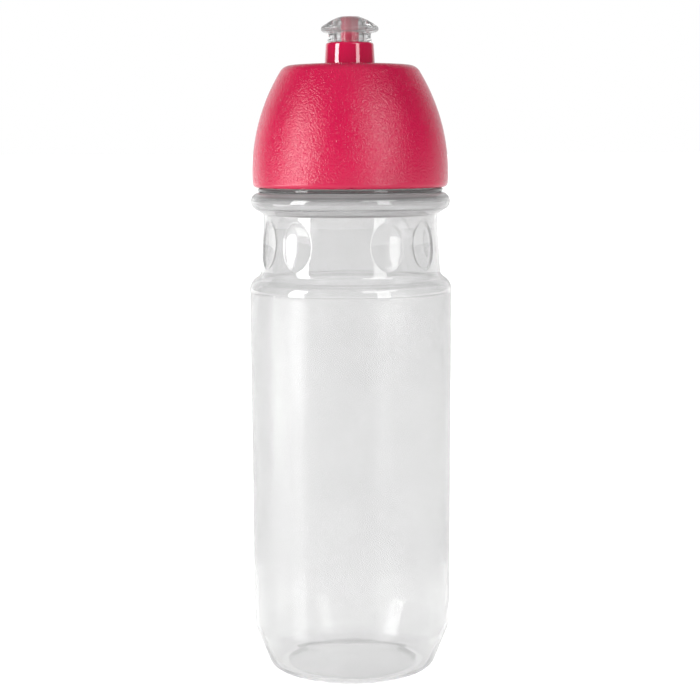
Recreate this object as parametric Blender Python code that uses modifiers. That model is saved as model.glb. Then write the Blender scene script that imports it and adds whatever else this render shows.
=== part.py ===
"""Squeeze bottle for a bicycle cage, with a domed screw cap and a push-pull mouthpiece.

Metres, +Z up.  The origin is the centre of the standing ring, on the bottle's axis.
The plain panel of the waist, between two dimples, faces -Y.

Pieces: bottle_body, screw_cap, cap_gasket, spout_core, spout_seal and mouthpiece.
The cap turns about Z on a right-hand thread, and the mouthpiece slides along Z.
Every outline is a list of (radius, height) pairs, turned about Z.
"""

import math

import bmesh
import bpy

# Facets round the axis
WIDE_SEGMENTS = 48
SPOUT_SEGMENTS = 28
GAP = 0.0003

# Bottle body: a blown skin of one thickness
WALL = 0.0012
BODY_BOTTOM_RADIUS = 0.0363
BODY_TOP_RADIUS = 0.0370
BODY_BOTTOM_Z = 0.0176
BODY_TOP_Z = 0.1408
BASE_CONE_ANGLE = 22.8
BASE_TOP_ARC = 0.0085
BASE_EDGE_ARC = 0.0048
RING_INNER_RADIUS = 0.0244
RING_OUTER_RADIUS = 0.0267
PUSH_UP_HEIGHT = 0.0046
PUSH_UP_MIDDLE_RADIUS = 0.0124
PUSH_UP_MIDDLE_Z = 0.0039
PUSH_UP_EDGE_RADIUS = 0.0226
PUSH_UP_EDGE_Z = 0.0015
SHOULDER_ARC = 0.0052
SHOULDER_ANGLE = 60.0
SHOULDER_FOOT_ARC = 0.0032
WAIST_TOP_RADIUS = 0.03175
WAIST_TAPER_TOP_Z = 0.1640
WAIST_TOP_Z = 0.1682
BEAD_CENTRE_RADIUS = 0.0329
BEAD_CENTRE_Z = 0.17295
BEAD_ARC = 0.0034
BEAD_FOOT_ANGLE = -68.0
BEAD_TOP_ANGLE = 92.0
RIDGE_RADIUS = 0.0337
RIDGE_Z = 0.1770
RIDGE_HALF_WIDTH = 0.0006
NECK_RADIUS = 0.0316
NECK_TOP_Z = 0.1915

# Thumb dimples round the waist, either side of a plain panel at the front and at the back
DIMPLE_ANGLES = (30.5, 61.0, 119.0, 149.5)
DIMPLE_Z = 0.1575
DIMPLE_HALF_WIDTH = 0.0060
DIMPLE_HALF_HEIGHT = 0.0083
DIMPLE_DEPTH = 0.0014

# Thread: right-hand, single start, the same lead on the neck and in the cap
THREAD_LEAD = 0.0050
THREAD_STEPS_PER_TURN = 30
THREAD_BASE_WIDTH = 0.0021
THREAD_CREST_WIDTH = 0.0010
THREAD_ROOT_DEPTH = 0.0006
THREAD_RUN_OUT_TURNS = 0.12
THREAD_END_HEIGHT = 0.35
NECK_THREAD_START_Z = 0.1804
NECK_THREAD_TURNS = 1.75
NECK_THREAD_CREST = 0.0329
CAP_THREAD_TURNS = 1.5
CAP_THREAD_CREST = 0.03215

# Screw cap: a single-wall dome
CAP_WALL = 0.0020
CAP_RIM_Z = 0.1780
CAP_RADIUS = 0.03565
CAP_WIDEST_Z = 0.1830
CAP_FLANK_ARC = 0.0702
CAP_CORNER_ARC = 0.0045
CAP_CROWN_EDGE_Z = 0.2219
CAP_CROWN_Z = 0.22235
CAP_RIM_ARC = 0.0016
CAP_RIM_ARC_RADIUS = 0.03395
CROWN_MIDDLE_RADIUS = 0.0150
CROWN_MIDDLE_Z = 0.22225
CAP_THREAD_WALL_RADIUS = 0.0333
LEDGE_Z = 0.1936
LEDGE_RADIUS = 0.0304
LEDGE_THICKNESS = 0.0011
LEDGE_TOP_Z = 0.1972
SKIRT_OUTER_RADIUS = 0.0151
SKIRT_INNER_RADIUS = 0.0135
SKIRT_BOTTOM_Z = 0.2163
SNAP_LIP_RADIUS = 0.0128
SNAP_LIP_Z = 0.2172

# Gasket under the cap's ledge
GASKET_INNER_RADIUS = 0.0296
GASKET_OUTER_RADIUS = CAP_THREAD_WALL_RADIUS - GAP
GASKET_BEVEL = 0.0003

# Spout core: collar, flange, spider and centre post in one moulding
COLLAR_BOTTOM_RADIUS = 0.00905
COLLAR_TAPER_Z = 0.2239
COLLAR_TOP_RADIUS = 0.0087
COLLAR_TOP_Z = 0.2300
COLLAR_ARC = 0.0007
COLLAR_BORE_RADIUS = 0.0070
COLLAR_RELIEF_RADIUS = 0.0079
COLLAR_LEDGE_Z = 0.2258
FLANGE_RADIUS = 0.01315
FLANGE_BOTTOM_Z = SNAP_LIP_Z + GAP
FLANGE_TOP_Z = 0.2190
SPOUT_TUBE_RADIUS = 0.0096
SPIDER_BOTTOM_Z = 0.2145
SPIDER_TOP_Z = 0.2165
SPOKE_WIDTH = 0.0022
SPOKE_COUNT = 4
POST_RADIUS = 0.0033
POST_TIP_RADIUS = 0.00235
POST_SHOULDER_Z = 0.2374
POST_TIP_CONE_Z = 0.2385
POST_TOP_Z = 0.23905

# O-ring between the flange and the crown
SEAL_RADIUS = 0.0112
SEAL_SECTION = 0.00075
SEAL_Z = 0.21925
SEAL_GROOVE_HALF_WIDTH = 0.0011
SEAL_SECTION_SEGMENTS = 8

# Plastics: linear colour, roughness and alpha
CLEAR_POLYTHENE = ((0.80, 0.81, 0.82), 0.25, 0.45)
GRAINED_PINK = ((0.672, 0.019, 0.080), 0.45, 1.0)
GLOSS_PINK = ((0.672, 0.019, 0.080), 0.12, 1.0)
GASKET_ELASTOMER = ((0.75, 0.75, 0.74), 0.6, 1.0)
SEAL_ELASTOMER = ((0.70, 0.70, 0.69), 0.5, 1.0)
CLEAR_ELASTOMER = ((0.85, 0.86, 0.87), 0.08, 0.35)

# Mouthpiece: mushroom head, neck, stop ring and a sleeve inside the collar
HEAD_TOP_Z = 0.2392
HEAD_TOP_RADIUS = 0.0037
HEAD_TOP_EDGE_Z = 0.2391
HEAD_RADIUS = 0.01045
HEAD_RIM_ARC = 0.0012
HEAD_RIM_Z = 0.2349
HEAD_RIM_TOP_ANGLE = 62.0
HEAD_RIM_BOTTOM_ANGLE = -80.0
HEAD_UNDERSIDE_RADIUS = 0.0083
HEAD_UNDERSIDE_Z = 0.2336
MOUTHPIECE_NECK_TOP_Z = 0.2330
HOLE_RADIUS = 0.00265
SEAT_Z = 0.2386
SEAT_FOOT_RADIUS = 0.0038
SEAT_FOOT_Z = 0.2373
SEAT_FLARE = 0.0010
MOUTHPIECE_NECK_RADIUS = 0.00775
STOP_RING_RADIUS = 0.0079
STOP_RING_TOP_Z = 0.2311
STOP_RING_FILLET = 0.0001
SLEEVE_RADIUS = 0.0067
MOUTHPIECE_BORE_RADIUS = 0.0048
SLEEVE_BOTTOM_Z = 0.2182
SNAP_BEAD_RADIUS = 0.0075
SNAP_BEAD_TOP_Z = 0.2195
SNAP_BEAD_LEAD_IN = 0.0006


def clear_scene():
    """Remove every object, so that the bottle is alone in the file."""
    for item in list(bpy.data.objects):
        bpy.data.objects.remove(item, do_unlink=True)


def make_collection(name):
    """Add a collection under the scene's own."""
    made = bpy.data.collections.new(name)
    bpy.context.scene.collection.children.link(made)
    return made


def make_material(name, plastic):
    """A Principled plastic from its linear colour, roughness and alpha."""
    colour, roughness, alpha = plastic
    made = bpy.data.materials.new(name)
    made.use_nodes = True
    shader = made.node_tree.nodes["Principled BSDF"]
    shader.inputs["Base Color"].default_value = (*colour, 1.0)
    shader.inputs["Roughness"].default_value = roughness
    shader.inputs["Metallic"].default_value = 0.0
    shader.inputs["Alpha"].default_value = alpha
    return made


def arc(centre, radius, start_deg, end_deg, steps):
    """Points along a circle from one angle to another, both ends included."""
    points = []
    for step in range(steps + 1):
        angle = math.radians(start_deg + (end_deg - start_deg) * step / steps)
        points.append((centre[0] + radius * math.cos(angle), centre[1] + radius * math.sin(angle)))
    return points


def offset_outline(points, distance):
    """Move an outline that starts on the axis sideways, to the left of its run."""
    moved = []
    for index, (radius, height) in enumerate(points):
        before = points[max(index - 1, 0)]
        after = points[min(index + 1, len(points) - 1)]
        normal = [0.0, 0.0]
        for start, end in ((before, (radius, height)), ((radius, height), after)):
            run = (end[0] - start[0], end[1] - start[1])
            length = math.hypot(*run)
            if length > 0.0:
                normal[0] -= run[1] / length
                normal[1] += run[0] / length
        size = math.hypot(*normal)
        unit = (normal[0] / size, normal[1] / size)
        moved.append((max(radius + unit[0] * distance, 0.0), height + unit[1] * distance))
    moved[0] = (0.0, points[0][1] + distance)
    return moved


def turned(name, outline, segments, closed, made_of, group):
    """Turn an outline about Z.  It runs up its inner side and down its outer side."""
    mesh = bpy.data.meshes.new(name)
    edges = [(index, index + 1) for index in range(len(outline) - 1)]
    if closed:
        edges.append((len(outline) - 1, 0))
    mesh.from_pydata([(radius, 0.0, height) for radius, height in outline], edges, [])
    made = bpy.data.objects.new(name, mesh)
    group.objects.link(made)
    screw = made.modifiers.new("turn", "SCREW")
    screw.axis = "Z"
    screw.angle = math.tau
    screw.steps = segments
    screw.render_steps = segments
    screw.use_merge_vertices = True
    screw.merge_threshold = 0.00001
    screw.use_smooth_shade = True
    mesh.materials.append(made_of)
    return made


def frozen(source):
    """Replace an object by the mesh that its modifiers give."""
    bpy.context.view_layer.update()
    evaluated = source.evaluated_get(bpy.context.evaluated_depsgraph_get())
    mesh = bpy.data.meshes.new_from_object(evaluated)
    name = source.name
    group = source.users_collection[0]
    bpy.data.objects.remove(source, do_unlink=True)
    mesh.name = name
    made = bpy.data.objects.new(name, mesh)
    group.objects.link(made)
    return made


def combine(target, tool, operation, tools):
    """Boolean another object into the target, and keep that object as a hidden guide."""
    cut = target.modifiers.new(tool.name, "BOOLEAN")
    cut.operation = operation
    cut.solver = "EXACT"
    cut.object = tool
    tool.hide_render = True
    tool.display_type = "WIRE"
    if tool.name not in tools.objects:
        for group in list(tool.users_collection):
            group.objects.unlink(tool)
        tools.objects.link(tool)


def thread_ridge(name, root, crest, start_z, turns, tools):
    """A helical ridge from a root radius to a crest radius, run out to nothing at both ends."""
    steps = round(turns * THREAD_STEPS_PER_TURN)
    mesh = bmesh.new()
    sections = []
    for step in range(steps + 1):
        turn = step / THREAD_STEPS_PER_TURN
        grown = min(1.0, max(min(turn, turns - turn) / THREAD_RUN_OUT_TURNS, 0.0))
        top = root + (crest - root) * (THREAD_END_HEIGHT + (1.0 - THREAD_END_HEIGHT) * grown)
        angle = math.tau * turn
        middle = start_z + THREAD_LEAD * turn
        section = []
        for radius, half in (
            (root, -THREAD_BASE_WIDTH / 2),
            (top, -THREAD_CREST_WIDTH / 2),
            (top, THREAD_CREST_WIDTH / 2),
            (root, THREAD_BASE_WIDTH / 2),
        ):
            place = (radius * math.cos(angle), radius * math.sin(angle), middle + half)
            section.append(mesh.verts.new(place))
        sections.append(section)
    for first, second in zip(sections, sections[1:]):
        for corner in range(4):
            following = (corner + 1) % 4
            mesh.faces.new((first[corner], first[following], second[following], second[corner]))
    mesh.faces.new(sections[0])
    mesh.faces.new(sections[-1])
    bmesh.ops.recalc_face_normals(mesh, faces=mesh.faces)
    data = bpy.data.meshes.new(name)
    mesh.to_mesh(data)
    mesh.free()
    made = bpy.data.objects.new(name, data)
    tools.objects.link(made)
    return made


def bottle_skin(detail):
    """The skin from the middle of the base up to the neck's rim, with steps for each arc."""
    cone = BASE_CONE_ANGLE
    base_edge = arc((RING_OUTER_RADIUS, BASE_EDGE_ARC), BASE_EDGE_ARC, -90.0, -cone, 2 * detail)
    base_top = arc((BODY_BOTTOM_RADIUS - BASE_TOP_ARC, BODY_BOTTOM_Z), BASE_TOP_ARC, -cone, 0.0, detail)
    shoulder_centre = (BODY_TOP_RADIUS - SHOULDER_ARC, BODY_TOP_Z)
    shoulder = arc(shoulder_centre, SHOULDER_ARC, 0.0, SHOULDER_ANGLE, 2 * detail)
    turn = math.radians(SHOULDER_ANGLE)
    foot_centre = (
        shoulder[-1][0] + SHOULDER_FOOT_ARC * math.cos(turn),
        shoulder[-1][1] + SHOULDER_FOOT_ARC * math.sin(turn),
    )
    foot = arc(foot_centre, SHOULDER_FOOT_ARC, 180.0 + SHOULDER_ANGLE, 180.0, 2 * detail)
    waist = []
    waist_rows = 2 + 2 * detail
    for row in range(1, waist_rows + 1):
        share = row / waist_rows
        radius = foot[-1][0] + (WAIST_TOP_RADIUS - foot[-1][0]) * share
        waist.append((radius, foot[-1][1] + (WAIST_TAPER_TOP_Z - foot[-1][1]) * share))
    bead_centre = (BEAD_CENTRE_RADIUS, BEAD_CENTRE_Z)
    bead = arc(bead_centre, BEAD_ARC, BEAD_FOOT_ANGLE, BEAD_TOP_ANGLE, 2 + 2 * detail)
    points = [
        (0.0, PUSH_UP_HEIGHT),
        (PUSH_UP_MIDDLE_RADIUS, PUSH_UP_MIDDLE_Z),
        (PUSH_UP_EDGE_RADIUS, PUSH_UP_EDGE_Z),
        (RING_INNER_RADIUS, 0.0),
    ]
    points += base_edge + base_top + shoulder + foot[1:] + waist
    points += [(WAIST_TOP_RADIUS, WAIST_TOP_Z)]
    points += bead
    points += [(NECK_RADIUS, RIDGE_Z), (NECK_RADIUS, NECK_TOP_Z)]
    return points


def bottle_outline():
    """The skin's inner side from the base up, then its outer side down to the base."""
    inner = offset_outline(bottle_skin(1), WALL)
    inner[-1] = (NECK_RADIUS - WALL, NECK_TOP_Z)
    ridge = [
        (NECK_RADIUS, RIDGE_Z + 2 * RIDGE_HALF_WIDTH),
        (RIDGE_RADIUS, RIDGE_Z + RIDGE_HALF_WIDTH),
        (RIDGE_RADIUS, RIDGE_Z),
        (RIDGE_RADIUS - RIDGE_HALF_WIDTH, RIDGE_Z - RIDGE_HALF_WIDTH),
    ]
    outer = list(reversed(bottle_skin(2)))
    return inner + outer[:1] + ridge + outer[2:]


def dimple_inset(x, y, z):
    """How far the dimples push the skin inwards at a point."""
    bearing = math.degrees(math.atan2(x, -y))
    inset = 0.0
    for centre in DIMPLE_ANGLES:
        across = math.radians(abs(bearing) - centre) * WAIST_TOP_RADIUS
        along = (across / DIMPLE_HALF_WIDTH) ** 2 + ((z - DIMPLE_Z) / DIMPLE_HALF_HEIGHT) ** 2
        inset = max(inset, DIMPLE_DEPTH * (1.0 - along))
    return inset


def make_bottle(group, tools):
    """Blown skin with waist dimples, and the neck thread joined to it."""
    clear = make_material("clear_polythene", CLEAR_POLYTHENE)
    body = frozen(turned("bottle_body", bottle_outline(), WIDE_SEGMENTS, False, clear, group))
    for vertex in body.data.vertices:
        x, y, z = vertex.co
        inset = dimple_inset(x, y, z)
        radius = math.hypot(x, y)
        if inset > 0.0 and radius > DIMPLE_HALF_WIDTH:
            vertex.co.x = x * (radius - inset) / radius
            vertex.co.y = y * (radius - inset) / radius
    root = NECK_RADIUS - THREAD_ROOT_DEPTH
    ridge = thread_ridge(
        "neck_thread", root, NECK_THREAD_CREST, NECK_THREAD_START_Z, NECK_THREAD_TURNS, tools
    )
    combine(body, ridge, "UNION", tools)
    return body


def cap_outline():
    """Crown and flank down the outside, then the thread wall, ledge, dome and skirt inside."""
    flank_centre = (CAP_RADIUS - CAP_FLANK_ARC, CAP_WIDEST_Z)
    corner_z = CAP_CROWN_EDGE_Z - CAP_CORNER_ARC
    reach = CAP_FLANK_ARC - CAP_CORNER_ARC
    rise = math.asin((corner_z - CAP_WIDEST_Z) / reach)
    corner_centre = (flank_centre[0] + reach * math.cos(rise), corner_z)
    lean = math.degrees(rise)
    hole = COLLAR_BOTTOM_RADIUS + GAP
    crown_inner_z = CAP_CROWN_Z - CAP_WALL
    outside = [(hole, CAP_CROWN_Z), (CROWN_MIDDLE_RADIUS, CROWN_MIDDLE_Z)]
    outside += arc(corner_centre, CAP_CORNER_ARC, 90.0, lean, 3)
    outside += arc(flank_centre, CAP_FLANK_ARC, lean, 0.0, 5)[1:]
    rim_centre = (CAP_RIM_ARC_RADIUS, CAP_RIM_Z + CAP_RIM_ARC)
    outside += arc(rim_centre, CAP_RIM_ARC, 0.0, -90.0, 3)
    inner_arc = CAP_FLANK_ARC - CAP_WALL
    ledge_lean = math.degrees(math.asin((LEDGE_TOP_Z - CAP_WIDEST_Z) / inner_arc))
    inside = [
        (CAP_THREAD_WALL_RADIUS + GAP, CAP_RIM_Z),
        (CAP_THREAD_WALL_RADIUS, CAP_RIM_Z + 2 * GAP),
        (CAP_THREAD_WALL_RADIUS, LEDGE_Z),
        (LEDGE_RADIUS, LEDGE_Z),
        (LEDGE_RADIUS, LEDGE_Z + LEDGE_THICKNESS),
    ]
    inside += arc(flank_centre, inner_arc, ledge_lean, lean, 4)
    inside += arc(corner_centre, CAP_CORNER_ARC - CAP_WALL, lean, 90.0, 2)[1:]
    inside += [
        (SKIRT_OUTER_RADIUS, crown_inner_z),
        (SKIRT_OUTER_RADIUS, SKIRT_BOTTOM_Z),
        (SNAP_LIP_RADIUS + GAP, SKIRT_BOTTOM_Z),
        (SNAP_LIP_RADIUS, SNAP_LIP_Z),
        (SKIRT_INNER_RADIUS, SNAP_LIP_Z),
        (SKIRT_INNER_RADIUS, crown_inner_z),
        (hole, crown_inner_z),
    ]
    return outside + inside


def make_cap(pink, group, tools):
    """Single-wall dome with the inner thread half a lead away from the neck's."""
    cap = turned("screw_cap", cap_outline(), WIDE_SEGMENTS, True, pink, group)
    root = CAP_THREAD_WALL_RADIUS + THREAD_ROOT_DEPTH
    start_z = NECK_THREAD_START_Z + THREAD_LEAD / 2
    ridge = thread_ridge("cap_thread", root, CAP_THREAD_CREST, start_z, CAP_THREAD_TURNS, tools)
    combine(cap, ridge, "UNION", tools)
    return cap


def make_gasket(group):
    """Flat sealing ring between the neck's rim and the cap's ledge."""
    soft = make_material("gasket_elastomer", GASKET_ELASTOMER)
    low = NECK_TOP_Z + GAP
    high = LEDGE_Z - GAP
    outline = [
        (GASKET_INNER_RADIUS, low),
        (GASKET_INNER_RADIUS, high),
        (GASKET_OUTER_RADIUS, high),
        (GASKET_OUTER_RADIUS, low),
    ]
    gasket = turned("cap_gasket", outline, WIDE_SEGMENTS, True, soft, group)
    bevel = gasket.modifiers.new("edges", "BEVEL")
    bevel.width = GASKET_BEVEL
    bevel.segments = 1
    bevel.limit_method = "ANGLE"
    return gasket


def make_spout(group, tools):
    """Collar, flange with a seal groove, spider and centre post, joined into one moulding."""
    gloss = make_material("gloss_pink", GLOSS_PINK)
    groove_floor = SEAL_Z - SEAL_SECTION - GAP
    collar_top_centre = (COLLAR_TOP_RADIUS - COLLAR_ARC, COLLAR_TOP_Z - COLLAR_ARC)
    outline = [
        (COLLAR_RELIEF_RADIUS, SPIDER_BOTTOM_Z),
        (COLLAR_RELIEF_RADIUS, COLLAR_LEDGE_Z),
        (COLLAR_BORE_RADIUS, COLLAR_LEDGE_Z),
        (COLLAR_BORE_RADIUS, COLLAR_TOP_Z),
    ]
    outline += arc(collar_top_centre, COLLAR_ARC, 90.0, 0.0, 2)
    outline += [
        (COLLAR_BOTTOM_RADIUS, COLLAR_TAPER_Z),
        (COLLAR_BOTTOM_RADIUS, FLANGE_TOP_Z),
        (SEAL_RADIUS - SEAL_GROOVE_HALF_WIDTH, FLANGE_TOP_Z),
        (SEAL_RADIUS - SEAL_GROOVE_HALF_WIDTH, groove_floor),
        (SEAL_RADIUS + SEAL_GROOVE_HALF_WIDTH, groove_floor),
        (SEAL_RADIUS + SEAL_GROOVE_HALF_WIDTH, FLANGE_TOP_Z),
        (FLANGE_RADIUS, FLANGE_TOP_Z),
        (FLANGE_RADIUS, FLANGE_BOTTOM_Z),
        (SPOUT_TUBE_RADIUS, FLANGE_BOTTOM_Z),
        (SPOUT_TUBE_RADIUS, SPIDER_BOTTOM_Z),
    ]
    spout = turned("spout_core", outline, SPOUT_SEGMENTS, True, gloss, group)
    post_outline = [
        (0.0, POST_TOP_Z),
        (POST_TIP_RADIUS, POST_TOP_Z),
        (POST_TIP_RADIUS, POST_TIP_CONE_Z),
        (POST_RADIUS, POST_SHOULDER_Z),
        (POST_RADIUS, SPIDER_BOTTOM_Z),
        (0.0, SPIDER_BOTTOM_Z),
    ]
    post = turned("centre_post", post_outline, SPOUT_SEGMENTS, False, gloss, group)
    combine(spout, spokes(tools), "UNION", tools)
    combine(spout, post, "UNION", tools)
    return spout


def spokes(tools):
    """Crossed bars through the post, whose ends reach into the collar's wall."""
    reach = (COLLAR_RELIEF_RADIUS + SPOUT_TUBE_RADIUS) / 2
    height = SPIDER_TOP_Z - SPIDER_BOTTOM_Z - 2 * GAP
    middle = (SPIDER_TOP_Z + SPIDER_BOTTOM_Z) / 2
    bars = []
    for index in range(SPOKE_COUNT // 2):
        bpy.ops.mesh.primitive_cube_add(size=1.0, location=(0.0, 0.0, middle))
        bar = bpy.context.object
        bar.name = f"spoke_bar_{index}"
        bar.scale = (2 * reach, SPOKE_WIDTH, height)
        bar.rotation_euler.z = math.pi * index / (SPOKE_COUNT // 2) + math.pi / 4
        bars.append(bar)
    combine(bars[0], bars[1], "UNION", tools)
    return bars[0]


def make_seal(group):
    """O-ring in the flange's groove."""
    soft = make_material("seal_elastomer", SEAL_ELASTOMER)
    bpy.ops.mesh.primitive_torus_add(
        major_segments=SPOUT_SEGMENTS,
        minor_segments=SEAL_SECTION_SEGMENTS,
        major_radius=SEAL_RADIUS,
        minor_radius=SEAL_SECTION,
        location=(0.0, 0.0, SEAL_Z),
    )
    seal = bpy.context.object
    seal.name = "spout_seal"
    seal.data.materials.append(soft)
    seal.data.shade_smooth()
    for owner in list(seal.users_collection):
        owner.objects.unlink(seal)
    group.objects.link(seal)
    return seal


def make_mouthpiece(group):
    """Mushroom head over a neck, a stop ring and a sleeve that ends in a snap bead."""
    clear = make_material("clear_elastomer", CLEAR_ELASTOMER)
    rim_centre = (HEAD_RADIUS - HEAD_RIM_ARC, HEAD_RIM_Z)
    collar_gap_z = COLLAR_TOP_Z + GAP
    outline = [
        (MOUTHPIECE_BORE_RADIUS, SLEEVE_BOTTOM_Z),
        (MOUTHPIECE_BORE_RADIUS, SEAT_FOOT_Z - SEAT_FLARE),
        (SEAT_FOOT_RADIUS, SEAT_FOOT_Z),
        (HOLE_RADIUS, SEAT_Z),
        (HOLE_RADIUS, HEAD_TOP_Z),
        (HEAD_TOP_RADIUS, HEAD_TOP_EDGE_Z),
    ]
    outline += arc(rim_centre, HEAD_RIM_ARC, HEAD_RIM_TOP_ANGLE, HEAD_RIM_BOTTOM_ANGLE, 4)
    outline += [
        (HEAD_UNDERSIDE_RADIUS, HEAD_UNDERSIDE_Z),
        (MOUTHPIECE_NECK_RADIUS, MOUTHPIECE_NECK_TOP_Z),
        (MOUTHPIECE_NECK_RADIUS, STOP_RING_TOP_Z + STOP_RING_FILLET),
        (STOP_RING_RADIUS, STOP_RING_TOP_Z),
        (STOP_RING_RADIUS, collar_gap_z),
        (SLEEVE_RADIUS, collar_gap_z),
        (SLEEVE_RADIUS, SNAP_BEAD_TOP_Z),
        (SNAP_BEAD_RADIUS, SNAP_BEAD_TOP_Z),
        (SNAP_BEAD_RADIUS, SLEEVE_BOTTOM_Z + SNAP_BEAD_LEAD_IN),
        (SLEEVE_RADIUS, SLEEVE_BOTTOM_Z),
    ]
    return turned("mouthpiece", outline, SPOUT_SEGMENTS, True, clear, group)


def hold_on_axis(pieces, group):
    """Parent the turning pieces to an empty on the thread's axis."""
    axis = bpy.data.objects.new("cap_axis", None)
    axis.location = (0.0, 0.0, CAP_RIM_Z)
    group.objects.link(axis)
    bpy.context.view_layer.update()
    for piece in pieces:
        piece.parent = axis
        piece.matrix_parent_inverse = axis.matrix_world.inverted()


def main():
    """Build the bottle."""
    clear_scene()
    group = make_collection("water_bottle")
    tools = make_collection("cutters")
    pink = make_material("grained_pink", GRAINED_PINK)
    make_bottle(group, tools)
    cap = make_cap(pink, group, tools)
    gasket = make_gasket(group)
    spout = make_spout(group, tools)
    seal = make_seal(group)
    mouthpiece = make_mouthpiece(group)
    hold_on_axis((cap, gasket, spout, seal, mouthpiece), group)


main()
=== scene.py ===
"""Cycling bottle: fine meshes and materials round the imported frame.

Metres, +Z up, the bottle's axis on Z, the plain panel of the waist facing -Y.
Outlines are lists of (radius, height) pairs, turned about Z.
"""

import math

import bpy
import numpy as np
from mathutils import Matrix, Vector


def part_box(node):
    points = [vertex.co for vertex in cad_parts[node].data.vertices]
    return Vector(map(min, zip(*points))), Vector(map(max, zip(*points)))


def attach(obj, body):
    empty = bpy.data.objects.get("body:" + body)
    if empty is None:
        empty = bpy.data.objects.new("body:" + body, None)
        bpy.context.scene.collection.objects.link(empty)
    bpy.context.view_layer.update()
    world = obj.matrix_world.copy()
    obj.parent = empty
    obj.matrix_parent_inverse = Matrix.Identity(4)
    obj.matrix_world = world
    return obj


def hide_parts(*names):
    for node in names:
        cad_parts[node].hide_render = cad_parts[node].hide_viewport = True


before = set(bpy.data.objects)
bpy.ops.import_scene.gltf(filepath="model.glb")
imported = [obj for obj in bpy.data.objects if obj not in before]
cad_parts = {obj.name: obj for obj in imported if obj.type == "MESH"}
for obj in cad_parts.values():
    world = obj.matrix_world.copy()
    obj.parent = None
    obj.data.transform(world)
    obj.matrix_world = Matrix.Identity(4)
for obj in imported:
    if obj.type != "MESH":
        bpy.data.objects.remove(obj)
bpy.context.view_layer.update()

_, body_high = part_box("bottle_body")
cap_low, cap_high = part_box("screw_cap")
spout_low, spout_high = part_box("spout_core")
mouth_low, mouth_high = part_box("mouthpiece")

# Facets round the axis
BODY_STEP = 2.4
DIMPLE_STEP = 0.8
CAP_SEGMENTS = 192
SPOUT_SEGMENTS = 96
GAP = 0.0003

# Bottle skin
WALL = 0.0012
HEEL_EXTRA = 0.0003
HEEL_TOP_Z = 0.0035
BODY_TOP_RADIUS = body_high.x
BODY_BOTTOM_RADIUS = 0.0363
BODY_BOTTOM_Z = 0.0176
BODY_TOP_Z = 0.1408
BASE_CONE_ANGLE = 22.8
BASE_TOP_ARC = 0.0085
BASE_EDGE_ARC = 0.0048
RING_INNER_RADIUS = 0.0244
RING_OUTER_RADIUS = 0.0267
RING_INNER_ARC = 0.0024
RING_INNER_FLAT = 0.0008
RING_ROUNDING = 0.0010
PUSH_UP_HEIGHT = 0.0046
SHOULDER_ARC = 0.0052
SHOULDER_ANGLE = 60.0
SHOULDER_FOOT_ARC = 0.0032
WAIST_TOP_RADIUS = 0.03175
WAIST_TAPER_TOP_Z = 0.1640
WAIST_TOP_Z = 0.1682
BEAD_RADIUS = 0.0329
BEAD_Z = 0.17295
BEAD_ARC = 0.0034
BEAD_FOOT_ANGLE = -68.0
BEAD_TOP_ANGLE = 92.0
BEAD_FILLET = 0.0008
RIDGE_RADIUS = 0.0337
RIDGE_Z = 0.1770
RIDGE_HALF_WIDTH = 0.0006
RIDGE_ROUNDING = 0.00018
NECK_RADIUS = 0.0316
NECK_TOP_Z = body_high.z
NECK_INNER_FOOT_Z = 0.1780
NECK_INNER_STRAIGHT_Z = 0.1900
NECK_INNER_ROUNDING = 0.0015
PANEL_TOP_Z = 0.1399
PANEL_BOTTOM_Z = 0.0190
PANEL_RECESS = 0.00015
PANEL_STEP = 0.00015
PANEL_EDGE = 0.0004
SATIN_BOTTOM_Z = 0.0400
SEAM_HEIGHT = 0.00006
SEAM_HALF_WIDTH_DEG = 0.5

# Thumb dimples, either side of the plain panels at the front and the back
DIMPLE_ANGLES = (30.5, 61.0, 119.0, 149.5)
DIMPLE_Z = 0.1576
DIMPLE_HALF_WIDTH = 0.0061
DIMPLE_HALF_HEIGHT = 0.0084
DIMPLE_HOLLOW = 0.0010
DIMPLE_STEP_DEPTH = 0.00025
DIMPLE_STEP_WIDTH = 0.22
DIMPLE_REACH = 1.25

# Thread
THREAD_LEAD = 0.0050
THREAD_BASE_WIDTH = 0.0021
THREAD_CREST_WIDTH = 0.0010
THREAD_RUN_OUT_TURNS = 0.12
THREAD_START_Z = 0.1804
NECK_THREAD_TURNS = 1.75
NECK_THREAD_HEIGHT = 0.0013
CAP_THREAD_TURNS = 1.5
CAP_THREAD_HEIGHT = 0.00115

# Screw cap
CAP_RADIUS = cap_high.x
CAP_RIM_Z = cap_low.z
CAP_CROWN_Z = cap_high.z
CAP_CROWN_DROP = 0.00045
CAP_WALL = 0.0020
CAP_WIDEST_Z = 0.1830
CAP_FLANK_ARC = 0.0702
CAP_CORNER_ARC = 0.0045
CAP_RIM_ARC = 0.0016
CAP_RIM_INSET = 0.0001
CAP_HOLE_CHAMFER = (0.0002, 0.0004)
CAP_THREAD_WALL_RADIUS = 0.0333
LEDGE_Z = 0.1936
LEDGE_RADIUS = 0.0304
LEDGE_THICKNESS = 0.0011
LEDGE_TOP_Z = 0.1972
SKIRT_OUTER_RADIUS = 0.0151
SKIRT_INNER_RADIUS = 0.0135
SKIRT_BOTTOM_Z = 0.2163
SNAP_LIP_RADIUS = 0.0128
SNAP_LIP_Z = 0.2172
NOTCH_BEARING = 7.0
NOTCH_HALF_WIDTH = 0.0009
NOTCH_DEPTH = 0.0006

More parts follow.
